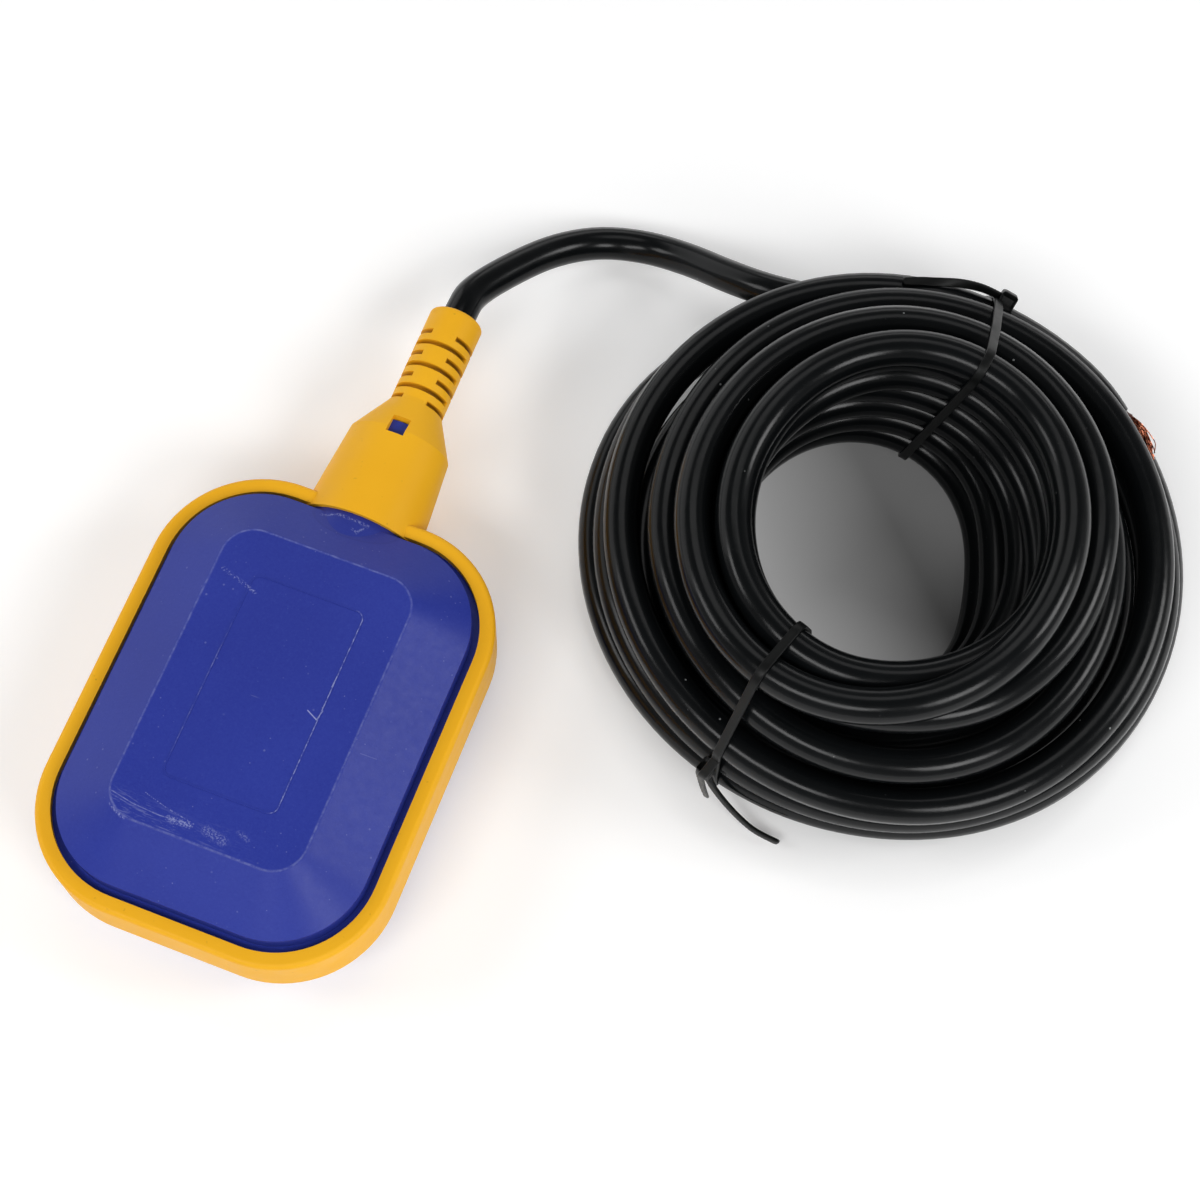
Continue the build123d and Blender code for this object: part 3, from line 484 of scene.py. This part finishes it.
def m_tie():
    k = Mat("tie_black")
    base = k.mix(k.span(k.noise(120, 3, 0.5), 0.3, 0.7), (0.0022, 0.0025, 0.0024, 1), (0.0045, 0.0050, 0.0048, 1))
    n = k.bump(k.noise(1400, 2, 0.6), 0.10, 0.00010)
    rough = k.span(k.noise(200, 3, 0.6), 0.3, 0.7, 0.36, 0.48)
    return k.set(color=base, rough=rough, normal=n, spec=0.18)


def m_plain(name, a, b, rough0, rough1, metal=0.0, scale=200, bump=0.08):
    k = Mat(name)
    col = k.mix(k.span(k.noise(scale, 3, 0.6), 0.3, 0.7), a, b)
    n = k.bump(k.noise(scale * 8, 2, 0.6), bump, 0.0001)
    rough = k.span(k.noise(scale * 1.7, 3, 0.6), 0.3, 0.7, rough0, rough1)
    return k.set(color=col, rough=rough, normal=n, metal=metal)


def m_copper():
    k = Mat("copper")
    col = k.mix(k.span(k.noise(1500, 3, 0.7), 0.60, 0.42), (0.52, 0.185, 0.105, 1), (0.07, 0.017, 0.010, 1))
    n = k.bump(k.noise(2500, 2, 0.6), 0.1, 0.0001)
    rough = k.span(k.noise(600, 3, 0.6), 0.3, 0.7, 0.22, 0.38)
    return k.set(color=col, rough=rough, normal=n, metal=1.0)


MATS = {
    "shell_blue": m_blue(),
    "rubber_yellow": m_yellow(),
    "cable_black": m_cable(),
    "tie_black": m_tie(),
    "tie_worn": m_plain("tie_worn", (0.035, 0.036, 0.034, 1), (0.17, 0.17, 0.165, 1), 0.5, 0.6, scale=900),
    "core_brown": m_plain("core_brown", (0.060, 0.016, 0.010, 1), (0.10, 0.028, 0.016, 1), 0.3, 0.42),
    "core_blue": m_plain("core_blue", (0.02, 0.09, 0.36, 1), (0.03, 0.12, 0.44, 1), 0.3, 0.42),
    "core_black": m_plain("core_black", (0.012, 0.012, 0.013, 1), (0.02, 0.02, 0.021, 1), 0.3, 0.42),
    "copper": m_copper(),
    "steel": m_plain("steel", (0.52, 0.52, 0.54, 1), (0.62, 0.62, 0.63, 1), 0.25, 0.38, 1.0),
    "ball_steel": m_plain("ball_steel", (0.62, 0.62, 0.64, 1), (0.70, 0.70, 0.71, 1), 0.08, 0.16, 1.0),
    "contact_brass": m_plain("contact_brass", (0.70, 0.50, 0.22, 1), (0.78, 0.58, 0.28, 1), 0.22, 0.34, 1.0),
    "carrier_white": m_plain("carrier_white", (0.66, 0.66, 0.63, 1), (0.74, 0.74, 0.71, 1), 0.42, 0.55),
    "switch_black": m_plain("switch_black", (0.022, 0.022, 0.023, 1), (0.032, 0.032, 0.034, 1), 0.4, 0.52),
    "lever_acetal": m_plain("lever_acetal", (0.72, 0.71, 0.66, 1), (0.78, 0.77, 0.72, 1), 0.35, 0.48),
}

for sub in frame["record"]["subparts"]:
    node = frame["nodes"].get(sub["node"])
    if node is None:
        continue
    mat = MATS[sub["material_slot"]]
    if node.material_slots:
        for s in node.material_slots:
            s.material = mat
    else:
        node.data.materials.append(mat)


def finish_mesh(name, bm, material, smooth=True, angle=40.0):
    mesh = bpy.data.meshes.new(name)
    bm.normal_update()
    bm.to_mesh(mesh)
    bm.free()
    mesh.materials.append(material)
    if smooth:
        mesh.polygons.foreach_set("use_smooth", [True] * len(mesh.polygons))
        mesh.set_sharp_from_angle(angle=math.radians(angle))
    obj = bpy.data.objects.new(name, mesh)
    scene.collection.objects.link(obj)
    return obj


# --------------------------------------------------------------- cable ties
STRAP_W, STRAP_T = 2.1, 0.9


def hull_path(points, grow, step=1.2):
    """The outline at a distance round a convex polygon given anticlockwise."""
    out = []
    n = len(points)
    for i in range(n):
        a, b, c = points[i - 1], points[i], points[(i + 1) % n]
        d0 = math.atan2(b[1] - a[1], b[0] - a[0]) - math.pi / 2
        d1 = math.atan2(c[1] - b[1], c[0] - b[0]) - math.pi / 2
        while d1 < d0:
            d1 += 2 * math.pi
        k = max(1, int(math.ceil((d1 - d0) / math.radians(14))))
        for j in range(k + 1):
            t = d0 + (d1 - d0) * j / k
            out.append((b[0] + grow * math.cos(t), b[1] + grow * math.sin(t), t))
        length = math.dist(b, c)
        m = int(length / step)
        for j in range(1, m):
            f = j / m
            out.append((b[0] + (c[0] - b[0]) * f + grow * math.cos(d1),
                        b[1] + (c[1] - b[1]) * f + grow * math.sin(d1), d1))
    return out


def section(w, t, r, n=3):
    """A rounded rectangle, w across and t thick, anticlockwise."""
    out = []
    for cx, cy, a0 in ((w / 2 - r, t / 2 - r, 0), (-w / 2 + r, t / 2 - r, 90),
                       (-w / 2 + r, -t / 2 + r, 180), (w / 2 - r, -t / 2 + r, 270)):
        for j in range(n + 1):
            a = math.radians(a0 + 90 * j / n)
            out.append((cx + r * math.cos(a), cy + r * math.sin(a)))
    return out


def strap_mesh(bm, rings, closed):
    """rings: (centre, across, out, width, thickness), Vectors in mm."""
    rows = []
    for c, across, out, w, t in rings:
        rows.append([bm.verts.new((c + across * u + out * v) * MM)
                     for u, v in section(w, t, min(0.28, t * 0.3, w * 0.3))])
    n = len(rows[0])
    count = len(rows) if closed else len(rows) - 1
    for i in range(count):
        a, b = rows[i], rows[(i + 1) % len(rows)]
        for j in range(n):
            bm.faces.new((a[j], a[(j + 1) % n], b[(j + 1) % n], b[j]))
    if not closed:
        bm.faces.new(list(reversed(rows[0])))
        bm.faces.new(rows[-1])


def tie_ring(bm, plane, points):
    """The closed strap round the held turns, in a plane."""
    o, er, en, ev = plane
    rings = []
    for u, v, t in hull_path(points, 4.0 + STRAP_T / 2):
        out = er * math.cos(t) + ev * math.sin(t)
        rings.append((o + er * u + ev * v, -en, out, STRAP_W, STRAP_T))
    strap_mesh(bm, rings, True)


def tail(bm, points, up, width=STRAP_W, thick=STRAP_T, teeth=0.12, tip=2.0):
    """A loose strap end along a smooth curve through control points (mm)."""
    line = centre_line(points, 24)
    lens = [0.0]
    for p, q in zip(line, line[1:]):
        lens.append(lens[-1] + (q - p).length)
    total = lens[-1]
    rings = []
    pitch = 0.4
    n = int(total / pitch)
    k = 0
    for i in range(n + 1):
        s = total * i / n
        while k < len(lens) - 2 and lens[k + 1] < s:
            k += 1
        f = (s - lens[k]) / max(1e-6, lens[k + 1] - lens[k])
        p = line[k].lerp(line[k + 1], f)
        d = (line[min(k + 2, len(line) - 1)] - line[max(k - 1, 0)]).normalized()
        g = s / total
        u = Vector(up[0]).lerp(Vector(up[1]), g)
        across = (u - d * u.dot(d)).normalized()
        out = d.cross(across)
        t = thick
        if 0.06 < g < 0.93:
            t = thick - (teeth if i % 2 else 0.0)
        w = width
        if total - s < tip:
            k0 = (total - s) / tip
            w = width * (0.35 + 0.65 * math.sqrt(max(0.0, 1 - (1 - k0) ** 2)))
            t = thick * (0.5 + 0.5 * math.sqrt(max(0.0, 1 - (1 - k0) ** 2)))
        rings.append((p - out * (thick - t) / 2, across, out, w, t))
    strap_mesh(bm, rings, False)


def block(bm, centre, ax, ay, az_, size, bevel=0.45):
    """A bevelled head with the strap's slot sunk through two sides."""
    tmp = bmesh.new()
    bmesh.ops.create_cube(tmp, size=1.0)
    for v in tmp.verts:
        v.co = Vector((v.co.x * size[0], v.co.y * size[1], v.co.z * size[2]))
    faces = [f for f in tmp.faces if abs(f.normal.y) > 0.9]
    for f in faces:
        r = bmesh.ops.inset_individual(tmp, faces=[f], thickness=size[0] * 0.22)
        c = f.calc_center_median()
        for v in f.verts:
            v.co.z = c.z + (v.co.z - c.z) * 0.55
        depth = -0.25 * size[1] * (1 if f.normal.y > 0 else -1)
        bmesh.ops.translate(tmp, verts=list(f.verts), vec=(0, depth, 0))
    outer = [e for e in tmp.edges if len(e.link_faces) == 2 and e.calc_face_angle(0) > 1.2
             and all(abs(v.co.y) > size[1] * 0.49 or abs(v.co.y) < 0.01 for v in e.verts)]
    bmesh.ops.bevel(tmp, geom=outer, offset=bevel, segments=3, affect="EDGES", profile=0.5)
    m = Matrix((ax, ay, az_)).transposed()
    idx = {}
    for v in tmp.verts:
        idx[v] = bm.verts.new((centre + m @ v.co) * MM)
    for f in tmp.faces:
        bm.faces.new([idx[v] for v in f.verts])
    tmp.free()


# planes of the two ties: origin, outwards from the coil, normal, upwards
FRONT_PLANE = (Vector((COIL_X, COIL_Y, 0)), Vector((-0.3090, -0.9511, 0.0)),
               Vector((-0.9511, 0.3090, 0.0)), Vector((0, 0, 1)))
REAR_PLANE = (Vector((103.81, 55.0, 0)), Vector((0.1018, 0.9948, 0.0)),
              Vector((0.9766, -0.0999, -0.1905)), Vector((0.1895, -0.0194, 0.9817)))
FRONT_TURNS = [(54.7, 26.5), (45.2, 50.4), (36.7, 49.8), (34.0, 42.0),
               (29.0, 13.3), (29.9, 5.2), (38.0, 5.2), (46.1, 5.2), (54.2, 6.2)]
REAR_TURNS = [(39.1, 56.6), (40.2, 7.5), (48.3, 5.2), (70.0, 5.3),
              (75.9, 10.9), (67.0, 28.7), (61.0, 36.2), (49.9, 47.2)]


def in_plane(plane, u, v, w):
    o, er, en, ev = plane
    return o + er * u + ev * v + en * w


bm = bmesh.new()
tie_ring(bm, FRONT_PLANE, FRONT_TURNS)
o, er, en, ev = FRONT_PLANE
block(bm, in_plane(FRONT_PLANE, 60.2, 17.0, 1.3), -en, ev, er, (3.6, 4.2, 4.0), 0.7)
# the strap's bight over the head, where it turns into the slot
tail(bm, [in_plane(FRONT_PLANE, 59.2, 24.0, 0.0), in_plane(FRONT_PLANE, 61.0, 21.4, 0.3),
          in_plane(FRONT_PLANE, 63.0, 18.2, 0.9), in_plane(FRONT_PLANE, 61.6, 15.2, 1.2)],
     [(0.95, -0.3, 0), (0.95, -0.3, 0)], teeth=0.0)
tail(bm, [(92.2, -1.7, 15.5), (92.6, -2.0, 13.0), (94.2, -2.8, 9.5), (97.9, -4.3, 6.0),
          (102.7, -6.1, 3.5), (107.4, -7.5, 2.6), (112.4, -7.7, 2.4)],
     [(0.10, 0.08, 0.97), (0.07, 0.06, 0.97)], thick=0.85, teeth=0.05, tip=0.9)
front = finish_mesh("tie_front", bm, MATS["tie_black"], angle=35)
# the cut end of the strap, whitened where it was nipped off
bm = bmesh.new()
tail(bm, [(91.0, -2.6, 13.6), (91.9, -3.6, 11.6), (93.1, -4.8, 9.9), (94.2, -5.7, 8.9)],
     [(0.9, -0.3, 0.3), (0.6, -0.4, 0.7)], width=1.9, thick=0.7, teeth=0.12, tip=0.8)
stub = finish_mesh("tie_front_cut_end", bm, MATS["tie_worn"], angle=35)

bm = bmesh.new()
tie_ring(bm, REAR_PLANE, REAR_TURNS)
o, er, en, ev = REAR_PLANE
block(bm, in_plane(REAR_PLANE, 70.9, 32.2, 2.0), en, (ev * 0.8 - er * 0.6).normalized(),
      (er * 0.8 + ev * 0.6).normalized(), (4.0, 4.8, 4.2), 0.8)
tail(bm, [(118.6, 124.9, 31.6), (114.2, 124.8, 33.0), (111.1, 124.6, 33.2),
          (107.7, 124.0, 33.3), (104.4, 122.8, 33.5), (101.7, 121.7, 33.7),
          (98.4, 120.5, 34.0), (95.3, 119.0, 34.1)],
     [(0, 0.1, 1), (0, 1.0, -0.1)], thick=0.8, teeth=0.14, tip=1.0)
rear = finish_mesh("tie_rear", bm, MATS["tie_black"], angle=35)

# ---------------------------------------------- stripped end of the cable
def tube(bm, points, r0, r1=None, ring=10, resolution=8, wobble=0.0, seed=0.0):
    r1 = r0 if r1 is None else r1
    line = centre_line(points, resolution)
    rows = []
    up = Vector((0, 0, 1))
    for i, p in enumerate(line):
        d = (line[min(i + 1, len(line) - 1)] - line[max(i - 1, 0)]).normalized()
        x = up.cross(d).normalized()
        y = d.cross(x)
        f = i / (len(line) - 1)
        r = r0 + (r1 - r0) * f
        off = Vector((0, 0, 0))
        if wobble:
            off = noise.noise_vector(Vector((f * 3.0, seed, seed * 1.7))) * wobble * f
        rows.append([bm.verts.new((p + off + (x * math.cos(a) + y * math.sin(a)) * r) * MM)
                     for a in [2 * math.pi * j / ring for j in range(ring)]])
    for a, b in zip(rows, rows[1:]):
        for j in range(ring):
            bm.faces.new((a[j], a[(j + 1) % ring], b[(j + 1) % ring], b[j]))
    bm.faces.new(list(reversed(rows[0])))
    bm.faces.new(rows[-1])


bm = bmesh.new()
tube(bm, [(148.6, 107.6, 25.8), (152.0, 105.6, 25.0), (154.6, 103.4, 24.0)], 1.25, ring=16)
cores_b = finish_mesh("core_end_black", bm, MATS["core_black"])
bm = bmesh.new()
tube(bm, [(149.2, 108.8, 24.4), (152.3, 107.4, 23.4), (155.0, 105.6, 22.6)], 1.25, ring=16)
cores_c = finish_mesh("core_end_blue", bm, MATS["core_blue"])
bm = bmesh.new()
tube(bm, [(149.2, 109.6, 25.4), (152.0, 109.85, 25.1), (154.6, 109.6, 24.7)],
     1.25, 1.15, ring=16)
cores_a = finish_mesh("core_end_brown", bm, MATS["core_brown"])

bm = bmesh.new()
rnd = random.Random(4)
for i in range(34):
    a = 2 * math.pi * (i % 11) / 11 + (0.3, 0.0, 0.6, 0.9)[i // 11]
    r = (0.3, 0.62, 0.90, 0.5)[i // 11]
    dy, dz = r * math.cos(a), r * math.sin(a)
    sp = 1.0 + rnd.random() * 0.55
    pts = [(153.9, 109.6 + dy, 24.8 + dz),
           (156.3, 109.3 + dy, 24.3 + dz),
           (158.3 + rnd.uniform(-0.2, 0.3), 108.5 + dy * 1.1, 23.3 + dz * 1.1),
           (159.8 + rnd.uniform(-0.3, 0.5) + dy * 0.4, 107.4 + dy * sp, 21.9 + dz * sp),
           (161.2 + rnd.uniform(-0.4, 0.6) + dy * 0.5, 106.1 + dy * sp, 20.6 + dz * sp),
           (162.4 + rnd.uniform(-0.5, 0.7), 104.9 + dy * sp + rnd.uniform(-0.3, 0.3), 19.3 + dz * sp),
           (163.2 + rnd.uniform(-0.6, 0.6), 103.8 + dy * sp + rnd.uniform(-0.4, 0.4), 18.0 + dz * sp)]
    n_ = rnd.choice((4, 5, 5, 6, 6, 7))
    tube(bm, pts[:n_], 0.13, ring=6, resolution=5, wobble=0.45, seed=float(i))
copper = finish_mesh("copper_wires", bm, MATS["copper"])

# ------------------------------------------------------------ attach the new parts to the float, hide the parts they replace
cord.data.materials.append(MATS["cable_black"])
for o, s in ((cord, "cable_black"), (front, "tie_black"), (rear, "tie_black"), (stub, "tie_black"),
             (cores_a, "core_brown"), (cores_b, "core_black"), (cores_c, "core_blue"),
             (copper, "copper")):
    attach(o, "float")
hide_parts("cable_sheath", "cable_coil")
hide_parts("coil_tie_front")
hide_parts("coil_tie_rear")
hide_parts("core_ends")
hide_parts("copper_strands")

# ------------------------------------------------------------------- stage
bm = bmesh.new()
bmesh.ops.create_grid(bm, x_segments=2, y_segments=2, size=3.0)
k = Mat("floor")
tone = k.mix(k.span(k.noise(3, 2, 0.5), 0.2, 0.8), (0.90, 0.90, 0.90, 1), (0.92, 0.92, 0.92, 1))
k.put(k.bsdf.inputs["Emission Color"], (1, 1, 1, 1))
fx, fy, fz = k.xyz_mm()
fx = k.math("SUBTRACT", fx, COIL_X - 50.0)
fy = k.math("SUBTRACT", fy, COIL_Y - 30.0)
fr = k.math("SQRT", k.math("MULTIPLY_ADD", fx, fx, k.math("MULTIPLY", fy, fy)))
# the floor glows evenly outside the coil
outside = k.span(fr, 46.0, 70.0)
# painted light: inside the coil the floor glows, brighter towards -x and -y
inside = k.math("MULTIPLY_ADD", fx, -0.00528, k.math("MULTIPLY_ADD", fy, -0.00523, 0.112))
inside = k.math("MAXIMUM", inside, 0.0)
glow = k.math("ADD", k.times(outside, 0.22),
              k.times(k.math("SUBTRACT", 1.0, outside), k.math("MINIMUM", inside, 0.24)))
k.put(k.bsdf.inputs["Emission Strength"], glow)
# painted shade: the floor inside the coil is painted a darker grey
tone = k.mix(outside, (0.42, 0.42, 0.42, 1), tone)
floor = finish_mesh("floor", bm, k.set(color=tone, rough=0.9, spec=0.1))
floor.location = (0.05, 0.03, -0.0004)

world = bpy.data.worlds.new("studio")
scene.world = world
world.use_nodes = True
wt = world.node_tree
wco = wt.nodes.new("ShaderNodeTexCoord").outputs["Generated"]
wsep = wt.nodes.new("ShaderNodeSeparateXYZ")
wt.links.new(wco, wsep.inputs[0])
wramp = wt.nodes.new("ShaderNodeValToRGB")
wt.links.new(wsep.outputs[2], wramp.inputs["Fac"])
els = wramp.color_ramp.elements
els[0].position, els[0].color = 0.0, (0.46, 0.46, 0.46, 1)
els[1].position, els[1].color = 1.0, (0.08, 0.08, 0.08, 1)
for pos, c in ((0.12, 0.38), (0.42, 0.20), (0.70, 0.10)):
    e = els.new(pos)
    e.color = (c, c, c * 1.01, 1)
wt.links.new(wramp.outputs["Color"], wt.nodes["Background"].inputs["Color"])
wt.nodes["Background"].inputs["Strength"].default_value = 1.0


def area(name, direction, distance, size, size_y, radiance, color=(1, 1, 1),
         target=(0.06, 0.03, 0.02)):
    """A softbox seen from target along direction, of this radiance."""
    d = bpy.data.lights.new(name, "AREA")
    d.shape = "RECTANGLE"
    d.size = size
    d.size_y = size_y
    d.energy = radiance * math.pi * size * size_y
    d.color = color
    o = bpy.data.objects.new(name, d)
    t = Vector(target)
    o.location = t + Vector(direction).normalized() * distance
    o.rotation_euler = (t - o.location).to_track_quat("-Z", "Y").to_euler()
    scene.collection.objects.link(o)


area("left", (-0.90, 0.28, 0.36), 1.1, 1.30, 0.62, 1.0)
area("front_left", (-0.74, -0.28, 0.61), 1.1, 0.34, 0.30, 5.0)
area("right", (0.78, 0.24, 0.56), 1.1, 0.34, 0.34, 8.0)
area("front_right", (0.62, -0.42, 0.66), 1.1, 0.36, 0.36, 8.6)
area("front", (-0.10, -0.66, 0.80), 1.3, 0.80, 0.34, 6.9)
area("top", (-0.10, 0.42, 0.90), 1.3, 0.80, 0.45, 1.2)
area("back", (0.0, 0.95, 0.30), 1.5, 1.4, 0.35, 1.3)
scene.view_settings.view_transform = "Standard"
